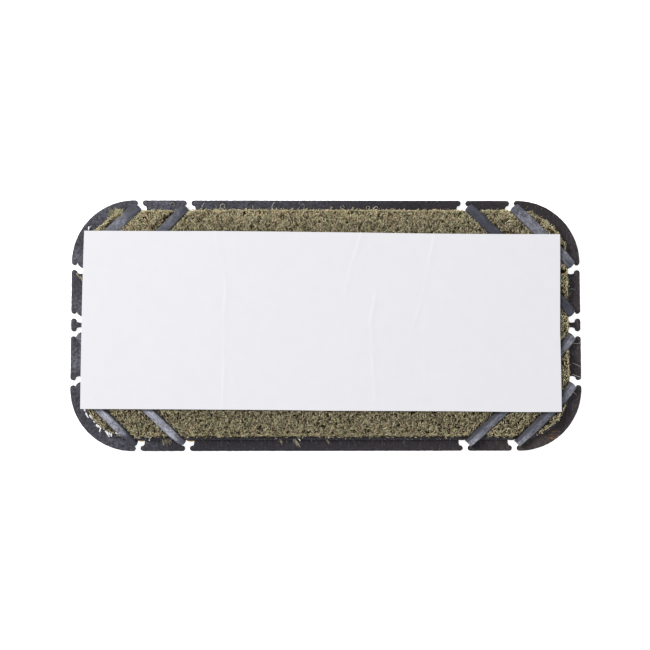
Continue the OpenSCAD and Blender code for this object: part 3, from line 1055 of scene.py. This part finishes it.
def make_band(node, number, cut_edge):
    """One closed rubber ring, wide over the pile and gathered in its two keyholes."""
    looks = band_looks(node)
    lo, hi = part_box(node)
    p, along, aside, length = strap_run(node)
    run_way, side_way, up = np.array([*along, 0]), np.array([*aside, 0]), np.array([0, 0, 1.0])
    loop = band_loop(length, hi.z - BAND_T / 2, lo.z + BAND_T / 2, 50 + number)
    loop = resampled(loop[::-1], 2.6 * MM)[::-1]
    stations = len(loop)
    steps = np.roll(loop, -1, 0) - np.roll(loop, 1, 0)
    steps /= np.linalg.norm(steps, axis=1, keepdims=True)
    normal = np.column_stack([-steps[:, 1], steps[:, 0]])
    travelled = np.cumsum(closed_steps(loop))

    # Where each station is: how far from a leg, on the lower run, going down a leg, or near it
    end = np.minimum(loop[:, 0], length - loop[:, 0])
    lower = loop[:, 1] < 3 * MM
    drop = unit((hi.z - 3.2 * MM - loop[:, 1]) / (5 * MM)) * (end < 8 * MM)
    near = eased(unit(1 - end / (34 * MM)))
    by_long_side = loop[:, 0] < length / 2
    squeeze, roll = (np.where(by_long_side, *looks[key]) for key in ("squeeze", "roll"))

    # Its width, thickness and bend across, and how it tilts and drifts sideways
    gather = np.where(lower, unit(1 - (end - 1.5 * MM) / (8 * MM)), np.maximum(drop, squeeze * near))
    width = BAND_WIDTH * np.where(lower, 1, looks["wide"])
    width = width * (1 - 0.15 * gather - 0.35 * squeeze * near * (1 - lower))
    width = width * (1 + 0.04 * wander(travelled, 30 * MM, 60 + number))
    thick = (BAND_T - 0.35 * MM) * (1 - 0.1 * gather)
    rolled = looks["arch"] + roll * near * (1 - drop) + (96 - looks["arch"]) * drop
    bend = np.radians(np.where(lower, 2 + 70 * gather, rolled))
    bend = np.where(np.abs(bend) < 0.03, 0.03, bend)
    lean = np.radians(4) * wander(loop[:, 0], 60 * MM, 80 + number) * unit(end / (20 * MM))
    lean = np.where(lower, 0, lean)[:, None]
    sway = 0.7 * MM * wander(loop[:, 0], 40 * MM, 70 + number) * unit(end / (15 * MM))
    drift = np.where(lower, 0, band_bow(node, loop[:, 0]) + sway)[:, None]

    # Its section at each station: an arc across, with ripples and creases
    across = np.linspace(-0.5, 0.5, 17)
    kappa = (bend / width)[:, None]
    angle = bend[:, None] * across
    upper = 1 - lower[:, None]
    ripple = 0.35 * MM * wander(travelled[:, None] + 9 * MM * across, 7 * MM, 90 + number) * upper
    crease = (squeeze * near)[:, None] * 0.5 * MM * np.cos(across * 3.4 * math.pi + number) * upper
    x = np.sin(angle) / kappa
    y = (np.cos(angle) - 1) / kappa + ripple * 0.5 + crease
    centre = np.array([*p, 0]) + loop[:, :1] * run_way + loop[:, 1:] * up
    out = normal[:, :1] * run_way + normal[:, 1:] * up

    def ring(offset, widen=0.0):
        sx = x * (1 + widen) + np.sin(angle) * offset[:, None]
        sy = y + np.cos(angle) * offset[:, None]
        tilted_x = sx * np.cos(lean) - sy * np.sin(lean) + drift
        tilted_y = sx * np.sin(lean) + sy * np.cos(lean)
        return centre[:, None] + tilted_x[:, :, None] * side_way + tilted_y[:, :, None] * out[:, None]

    outer, inner = ring(thick / 2), ring(-thick / 2)
    wall_a, wall_b = ring(thick * 0.24, 0.02), ring(-thick * 0.24, 0.02)
    section = np.concatenate([outer, wall_a[:, -1:], wall_b[:, -1:], inner[:, ::-1],
                              wall_b[:, :1], wall_a[:, :1]], 1)
    size = section.shape[1]
    index = np.arange(stations)[:, None] * size + np.arange(size)[None]
    after = np.roll(index, -1, 0)
    faces = np.stack([index, np.roll(index, -1, 1), np.roll(after, -1, 1), after], 2).reshape(-1, 4)
    piece = new_piece(node + "_strap", section.reshape(-1, 3), faces.tolist(), node)

    columns = across * BAND_WIDTH
    sides = np.concatenate([columns, [columns[-1]] * 2, columns[::-1], [columns[0]] * 2])
    strip = np.stack([np.repeat(travelled[:, None], size, 1), np.repeat(sides[None], stations, 0),
                      np.full((stations, size), 0.37 * number)], 2)
    set_vectors(piece.data, "strip", strip.reshape(-1, 3))
    ends = np.where(lower, 30 * MM, end - 8 * MM * drop)
    set_vectors(piece.data, "ends", np.repeat(ends[:, None, None], size, 1) * np.array([1.0, 0, 0]))
    cut = np.zeros(size, int)
    last = len(across) - 1
    cut[[last, last + 1, last + 2, -3, -2, -1]] = 1
    piece.data.polygons.foreach_set("material_index", np.tile(cut, stations).astype(np.int32))
    dress(piece, band_rubber(node[len("band_"):], looks), cut_edge)


# ---------------------------------------------------------------- loose bits, in millimetres
def strands(lines, rings):
    """Smooth paths of even steps through each line's own points."""
    out = []
    for line in lines:
        points = np.array(line, float) * MM
        for _ in range(2):
            middles = (points[:-1] + points[1:]) / 2
            points = np.concatenate([points[:1], middles, points[-1:]]) if len(points) > 2 else points
        run = np.concatenate([[0], np.cumsum(np.linalg.norm(np.diff(points, axis=0), axis=1))])
        even = np.linspace(0, run[-1], rings)
        out.append(np.stack([np.interp(even, run, points[:, k]) for k in range(3)], 1))
    return np.array(out)


def bunch(start, end, spread, count, seed):
    """A small bunch of blades lying on the rubber from start to end."""
    draw = rng(seed)
    z = 5.6
    lines = []
    for _ in range(count):
        a = np.array(start) + draw.normal(0, spread * 0.5, 2)
        b = np.array(end) + draw.normal(0, spread, 2)
        side = (a + b) / 2 + draw.normal(0, spread * 0.6, 2)
        height = draw.uniform(0, 1.2)
        tip_z = z + 0.2 + draw.uniform(0, 0.6)
        lines.append([(*a, z + 1.2 + height), (*side, z + 0.9 + height), (*b, tip_z)])
    return lines


def ring_hair(x, y, radius, start, end):
    """A hair that curls round in a loop, from one angle to another in degrees."""
    angles = np.radians(np.linspace(start, end, 14))
    grow = np.linspace(1, 1.25, 14)
    return [(*(np.array([x, y]) + radius * g * heading(a)), 5.5 + 0.3 * g) for a, g in zip(angles, grow)]


def random_hair(draw):
    """A short bent hair on the rubber border, or None beside a keyhole and at the left end."""
    by_long_side = draw.uniform(0, 1) < 0.75
    if by_long_side:
        x, y = draw.uniform(-330, 330), draw.choice([-1, 1]) * draw.uniform(169, 174)
    else:
        x, y = draw.choice([-1, 1]) * draw.uniform(361, 366), draw.uniform(-100, 100)
    if x < -361:
        return None
    way, long = draw.uniform(0, 2 * math.pi), draw.uniform(2.5, 6)
    along, slots = (x, (OUTER_X, INNER_X)) if by_long_side else (y, (OUTER_Y, INNER_Y))
    if min(abs(abs(along) - slot / MM) for slot in slots) < 14:
        return None
    turn = way + draw.normal(0, 0.8)
    middle = np.array([x, y]) + 0.5 * long * heading(way)
    tip = middle + 0.5 * long * heading(turn)
    return [(x, y, 5.5), (*middle, 5.6), (*tip, 5.4)]


# White tape ends round the front left corner: the angle along the corner where each starts and
# how far outside the pile, then which way it points, how long it is and how wide
CORNER_TAPES = [(203, 6.5, 293, 6.5, 2.6), (209, 7.0, 287, 8.5, 2.6), (213, 3.7, 292, 5.5, 1.9),
                (215, 3.3, 305, 8.0, 2.4), (221, 4.5, 300, 3.5, 1.6), (226, 5.0, 303, 5.0, 3.0),
                (228, 4.6, 318, 7.0, 2.8), (232, 4.5, 265, 6.0, 1.8), (235, 3.2, 310, 3.0, 1.6),
                (238, 4.0, 297, 11.0, 1.8), (240, 3.4, 284, 8.5, 1.9), (242, 3.0, 286, 6.0, 2.0),
                (245, 2.4, 266, 6.0, 2.2), (249, 0.5, 335, 9.0, 2.4)]
# Those along the front edge and at the back left: x, y, the way each points, its length and width,
# and how high it starts
EDGE_TAPES = [(-279, -163, -35, 6.5, 2.6, 9.0), (-274, -163.5, -60, 3.5, 2.2, 9.0),
              (-262, -162.5, -30, 7.0, 3.4, 9.0), (-258, -163, -92, 7.0, 2.8, 9.0),
              (-246, -164, -95, 3.0, 1.2, 9.0), (-203, -162.5, -75, 5.0, 2.8, 9.0),
              (-189, -164, -100, 3.4, 1.4, 9.0), (-41, -167, -50, 4.2, 1.6, 9.0),
              (-350, 139.5, 99, 6.0, 2.1, 8.0), (-350, 141.0, 58, 7.0, 1.1, 8.0)]
# Loose tufts: where each starts and ends, its spread, its number of blades, and its seed
LOOSE_TUFTS = [((-71, -163), (-65, -175), 0.9, 9, 101), ((-50, -162), (-41, -177), 1.6, 14, 102),
               ((-50, -163), (-46, -172), 1.2, 6, 103), ((-18.4, -161), (-22.8, -169), 0.8, 6, 104),
               ((-2.3, -164), (3.5, -174), 0.6, 4, 105), ((-361, 67), (-367, 76), 0.7, 4, 106),
               ((-357, 62), (-362, 70), 0.8, 4, 107), ((-242, -161), (-234, -173), 2.8, 11, 108),
               ((-234, -161), (-228, -171), 2.6, 9, 109), ((4, 164), (8, 175), 1.0, 5, 114),
               ((37, 164), (40, 174), 1.4, 8, 115), ((-94, -163), (-90, -169), 0.7, 4, 110),
               ((120, -163), (124, -168), 0.8, 4, 111), ((-205, 168), (-199, 174), 2.4, 12, 112),
               ((-215, 167), (-219, 172), 1.8, 8, 113)]
LONG_HAIRS = [ring_hair(-153, 175.8, 3.5, -60, 290), ring_hair(-227, 177.6, 3.2, -30, 200),
              [(-41.5, 170, 5.6), (-40.5, 175, 5.5), (-36, 179.5, 5.5), (-32, 181.5, 5.4),
               (-32, 174, 5.5), (-34, 168, 5.6)],
              ring_hair(24, 174, 2.6, -20, 200), ring_hair(62, 174, 2.2, -20, 220),
              ring_hair(74, 173, 2.4, 0, 190),
              [(-212, 170, 5.6), (-208, 176, 5.5), (-213, 180, 5.4)],
              [(-183, 168, 5.7), (-186, 176, 5.5), (-180, 181, 5.4)],
              [(-165, 168, 5.7), (-161, 175, 5.5), (-164, 178, 5.4)],
              [(-78, 168, 5.7), (-84, 176, 5.5), (-76, 182, 5.4)],
              [(361.5, -56, 5.8), (367, -58, 5.7), (374, -62, 5.4)],
              [(361.5, -73, 5.8), (368, -76, 5.6), (374.5, -77.5, 5.4)],
              [(360.5, -27, 5.8), (367, -28, 5.6), (374.5, -27, 5.4)],
              [(359, 52, 5.8), (363, 54, 5.6), (368, 52, 5.4)],
              [(358, -100, 6.0), (363, -98, 5.6), (367, -103, 5.4)],
              [(-110, 168, 5.7), (-106, 174, 5.5), (-110, 177, 5.4)]]
HAIR_T = 0.25 * MM
FUZZ_BLADES = 300


def make_tape_ends():
    """White slit tapes of the backing, frayed out along its front edge and at the back left."""
    draw = rng(95)
    corner = np.array([LEFT_BEND, FRONT_BEND]) / MM
    lines, widths = [], []

    def tape_end(x, y, degrees, long, wide, z):
        way = heading(math.radians(degrees))
        side = np.array([-way[1], way[0]]) * draw.normal(0, 0.1) * long
        tip = np.array([x, y]) + way * long + side
        mid = np.array([x, y]) + way * long * 0.5 + side * 0.2
        lines.append([(x, y, z), (*mid, z + draw.uniform(0.2, 0.8)), (*tip, max(5.6, z - 1.5))])
        widths.append(wide)

    for angle, beyond, way, long, wide in CORNER_TAPES:
        x, y = corner + (PILE_R / MM + beyond - 1.5) * heading(math.radians(angle))
        tape_end(x, y, way, long, 1.25 * wide, 9.5)
    for tape in EDGE_TAPES:
        tape_end(*tape)
    for x in np.arange(-180, 250, 7.0):
        tape_end(x + draw.uniform(-3, 3), -164.5, draw.uniform(-130, -50),
                 draw.uniform(1.2, 2.6), draw.uniform(0.6, 1.3), 6.6)
    paths, widths = strands(lines, 5), np.array(widths)
    count = len(paths)
    shade = np.where(widths > 1.35, draw.uniform(0.93, 1.0, count), draw.uniform(0.25, 0.7, count))
    piece = fibre_piece("backing_tape_ends", paths, widths * MM, HAIR_T, shade[:, None] * [0.97, 0.97, 1.0],
                        "woven_backing", 96, taper=0.3, root_shade=0.95, flat=6.0)
    dress(piece, white_tape())


def make_loose_tufts(draw, yarn):
    """Tufts that have come loose and lie on the rubber border."""
    paths = strands([line for tuft in LOOSE_TUFTS for line in bunch(*tuft)], 5)
    count = len(paths)
    colours = yarn_colours(count, 98) * draw.uniform(1.1, 2.0, (count, 1)) * [1, 1, 1.08]
    piece = fibre_piece("stray_tufts", paths, draw.uniform(0.5, 0.9, count) * MM, BLADE_T,
                        held_below(colours, 0.6), "pile", 98)
    dress(piece, yarn)


def make_hairs(draw, yarn):
    """Hairs shed onto the rubber border: the long ones in their places, and short ones at random."""
    short = [random_hair(draw) for _ in range(70)]
    paths = strands(LONG_HAIRS + [hair for hair in short if hair], 12)
    edge = 0.6 * MM
    paths[:, :, 0] = np.clip(paths[:, :, 0], -HALF_L + edge, HALF_L - edge)
    paths[:, :, 1] = np.clip(paths[:, :, 1], -HALF_W + edge, HALF_W - edge)
    count = len(paths)
    long = np.arange(count) < len(LONG_HAIRS)
    shade = np.where(long, draw.uniform(1.6, 2.4, count), draw.uniform(0.5, 1.3, count))
    colours = np.clip(tint(158, 155, 142) * shade[:, None], 0, 0.8)
    width = np.where(long, 0.75, draw.uniform(0.35, 0.55, count))
    piece = fibre_piece("shed_hairs", paths, width * MM, HAIR_T, colours, "pile", 99,
                        taper=0.2, root_shade=0.9)
    dress(piece, yarn)


def make_corner_fuzz(draw, yarn):
    """The frizz of pale blades at the back left corner, every fifth of them a thin hair."""
    corner = np.array([LEFT_BEND, BACK_BEND]) / MM
    thin = np.arange(FUZZ_BLADES) % 5 == 0
    fuzz = []
    for is_thin in thin:
        angle = math.radians(draw.triangular(110, 114, 122) if is_thin else draw.triangular(104.5, 109, 116))
        root = corner + (PILE_R / MM - draw.uniform(-3, 9)) * heading(angle)
        way = angle + draw.normal(-0.1, 0.55)
        long = draw.uniform(7, 12) if is_thin else draw.uniform(3, 7.5)
        tip = root + long * heading(way)
        bent = (root + tip) / 2 + draw.normal(0, 0.9, 2)
        fuzz.append([(*root, 13), (*bent, 15), (*tip, draw.uniform(8, 14))])
    shade = draw.uniform(0.5, 1.4, (FUZZ_BLADES, 1)) * np.where(thin, 0.6, 1)[:, None]
    colours = np.clip(tint(192, 186, 148) * shade, 0, 0.8)
    width = np.where(thin, 0.4, draw.uniform(0.5, 0.95, FUZZ_BLADES))
    piece = fibre_piece("corner_fuzz", strands(fuzz, 6), width * MM, HAIR_T, colours, "pile",
                        100, taper=0.3, root_shade=0.8)
    dress(piece, yarn)


# ---------------------------------------------------------------- the paper sheet
SHEET_TURN = math.radians(-0.4)
SHEET_SIZE = (0.700, 0.261)
SHEET_T = 0.25 * MM
SHEET_LIFT = 0.5 * MM
# Each crease: how high it stands, then its places from the back edge to the front edge, as
# (share of the way from front to back, distance along the sheet in millimetres)
CREASES = [
    (0.50, [(1.0, -158), (0.88, -152), (0.78, -144), (0.70, -141), (0.45, -143), (0.2, -142), (0.0, -144)]),
    (0.36, [(1.0, 58), (0.9, 50), (0.8, 41), (0.66, 34), (0.60, 33)]),
    (0.46, [(0.70, 80), (0.58, 76), (0.50, 72), (0.40, 74), (0.20, 75), (0.08, 79), (0.0, 73)]),
    (0.36, [(1.0, 165), (0.85, 158), (0.68, 150), (0.56, 141), (0.44, 131), (0.38, 128)]),
    (0.24, [(0.66, 156), (0.5, 152), (0.36, 149), (0.12, 153)]),
    (0.14, [(0.85, -214), (0.6, -211)]), (0.12, [(0.72, -75), (0.45, -74)]),
    (0.12, [(0.5, 229), (0.3, 233)])]
# Its cut edges aren't quite straight. For each: places along it, from 0 at the front to 1 at the
# back or from -1 at the left to 1 at the right, and how far it stands off there to the right or to
# the back, in millimetres
LEFT_WAVE = ([0, 0.15, 0.6, 0.8, 1], [0.1, -0.2, -0.2, 0.2, 0.9])
RIGHT_WAVE = ([0, 0.1, 0.28, 0.45, 0.65, 0.85, 1], [0.7, 0.5, -0.1, -0.9, -0.5, 0, 0.2])
BACK_WAVE = ([-1, -0.7, -0.45, -0.2, 0.2, 0.5, 0.8, 1], [-0.3, 0, 0.7, 0.7, 0.1, -0.5, -0.3, 0.2])
FRONT_WAVE = ([-1, -0.6, -0.2, 0.05, 0.3, 0.55, 0.85, 1], [-0.3, 0, -0.1, -0.6, -0.4, -0.3, -0.8, -0.2])


def sheet_columns():
    """Column places along the sheet, close together where creases run."""
    half = SHEET_SIZE[0] / 2 / MM
    spans = [(-half, -165, 5.0), (-165, -134, 0.7), (-134, 24, 5.0), (24, 88, 0.7), (88, 120, 4.0),
             (120, 172, 0.7), (172, half, 5.0)]
    places = []
    for start, end, step in spans:
        places.extend(np.linspace(start, end, max(2, int((end - start) / step)) + 1)[:-1])
    return np.array([*places, half]) * MM


def crease_lift(x, share):
    """How high the creases stand: steep on their left and easy on their right."""
    lift = np.zeros_like(x)
    for tall, points in CREASES:
        shares, places = np.array(points[::-1]).T
        seed = int(tall * 100)
        middle = np.interp(share, shares, places) * MM
        middle = middle + 0.5 * MM * wander(share, 0.05, len(points) + seed)
        ends = unit((share - shares[0]) / 0.05 + (shares[0] == 0)) \
            * unit((shares[-1] - share) / 0.05 + (shares[-1] == 1))
        away = (x - middle) / (2.2 * MM)
        broken = 0.55 + 0.45 * wander(share, 0.09, 7 + seed)
        lift += 0.75 * tall * MM * ends * broken * bell(away, np.where(away < 0, 0.8, 2.2))
    return lift


def make_sheet():
    """A blank sheet of paper lying on the pile, slightly bowed and creased across."""
    half_l, half_w = SHEET_SIZE[0] / 2, SHEET_SIZE[1] / 2
    x, y = np.meshgrid(sheet_columns(), np.linspace(-half_w, half_w, 96))
    share = (y + half_w) / (2 * half_w)
    across = x / half_l
    lift = crease_lift(x, share) + 0.22 * MM * relief(x, y, 70 * MM, 91)
    lift += 0.08 * MM * relief(x, y, 18 * MM, 92) + SHEET_LIFT
    left, right = np.interp(share, *LEFT_WAVE), np.interp(share, *RIGHT_WAVE)
    back, front = np.interp(across, *BACK_WAVE), np.interp(across, *FRONT_WAVE)
    x = x + (left * (1 - across) / 2 + right * (1 + across) / 2) * MM
    y = y + (back * share + front * (1 - share)) * MM
    middle_x, middle_y = (SHEET_LO.x + SHEET_HI.x) / 2, (SHEET_LO.y + SHEET_HI.y) / 2
    c, s = math.cos(SHEET_TURN), math.sin(SHEET_TURN)
    px, py = middle_x + c * x - s * y, middle_y + s * x + c * y
    low = np.stack([px, py, SHEET_LO.z + lift], 2)
    top = low + [0, 0, SHEET_T]
    verts = np.concatenate([top.reshape(-1, 3), low.reshape(-1, 3)])
    under = x.size
    grid = np.arange(under).reshape(x.shape)
    quads = np.stack([grid[:-1, :-1], grid[:-1, 1:], grid[1:, 1:], grid[1:, :-1]], 2).reshape(-1, 4)
    loop = np.concatenate([grid[0, :-1], grid[:-1, -1], grid[-1, :0:-1], grid[:0:-1, 0]])
    after = np.roll(loop, -1)
    walls = np.stack([loop, loop + under, after + under, after], 1)
    faces = np.concatenate([quads, quads[:, ::-1] + under, walls]).tolist()
    piece = new_piece("cover_paper", verts, faces, "cover_sheet", body="loose_sheet")
    piece.data.set_sharp_from_angle(angle=math.radians(60))
    dress(piece, paper())


# ---------------------------------------------------------------- the floor, light and camera
def make_floor():
    """A large white floor under the mat, which isn't part of it."""
    mesh = bpy.data.meshes.new("studio_floor")
    size, z = 6.0, -0.0003
    mesh.from_pydata([(-size, -size, z), (size, -size, z), (size, size, z), (-size, size, z)],
                     [], [(0, 1, 2, 3)])
    floor = add_object("studio_floor", mesh)
    m = Shader("studio_floor", 0.9, 0.1)
    m.colour(m.mix(m.step(m.noise(m.place(), 3), 0.3, 0.7), srgb(250, 250, 250), srgb(252, 252, 252)))
    m.surface.inputs["Emission Color"].default_value = (1, 1, 1, 1)
    m.surface.inputs["Emission Strength"].default_value = 0.75
    mesh.materials.append(m.material)


def lamp(name, at, size, watts, colour=(1, 1, 1)):
    """A square soft box, aimed at the middle of the mat."""
    data = bpy.data.lights.new(name, "AREA")
    data.shape = "SQUARE"
    data.size = size
    data.energy = watts
    data.color = colour
    made = add_object(name, data)
    made.location = at
    made.rotation_euler = (-Vector(at)).to_track_quat("-Z", "Y").to_euler()


def make_light():
    """A pale sky and two soft boxes, the stronger one at the back left."""
    world = bpy.data.worlds.new("studio")
    world.use_nodes = True
    sky = world.node_tree.nodes["Background"]
    sky.inputs["Color"].default_value = (0.98, 0.99, 1.0, 1)
    sky.inputs["Strength"].default_value = 0.45
    bpy.context.scene.world = world
    lamp("key_softbox", (-4.4, 2.6, 4.6), 2.6, 480, (1.0, 0.99, 0.97))
    lamp("fill_softbox", (4.2, -2.2, 3.2), 3.0, 70)
    bpy.context.scene.view_settings.view_transform = "Standard"


def make_camera():
    """Nearly overhead, with the long side of the mat across the view."""
    camera = bpy.data.cameras.new("camera")
    camera.lens = 86.76
    camera.sensor_width = 36
    made = add_object("camera", camera)
    eye, aim = Vector((-0.0399, -0.1998, 2.300)), Vector((-0.0021, -0.0003, 0.005))
    tilt = -0.0013
    forward = (aim - eye).normalized()
    right = forward.cross(Vector((0, 1, 0))).normalized()
    upright = Matrix((right, right.cross(forward), -forward)).transposed()
    made.matrix_world = Matrix.Translation(eye) @ upright.to_4x4() @ Matrix.Rotation(tilt, 4, "Z")
    bpy.context.scene.camera = made


make_floor()
make_light()
make_camera()
make_base()
make_layers()
make_thatch()
pile_material = make_pile()
cut_material = cut_rubber()
for number, node in enumerate(BAND_NODES):
    make_band(node, number, cut_material)
make_tape_ends()
loose_draw = rng(97)
make_loose_tufts(loose_draw, pile_material)
make_hairs(loose_draw, pile_material)
make_corner_fuzz(loose_draw, pile_material)
make_sheet()
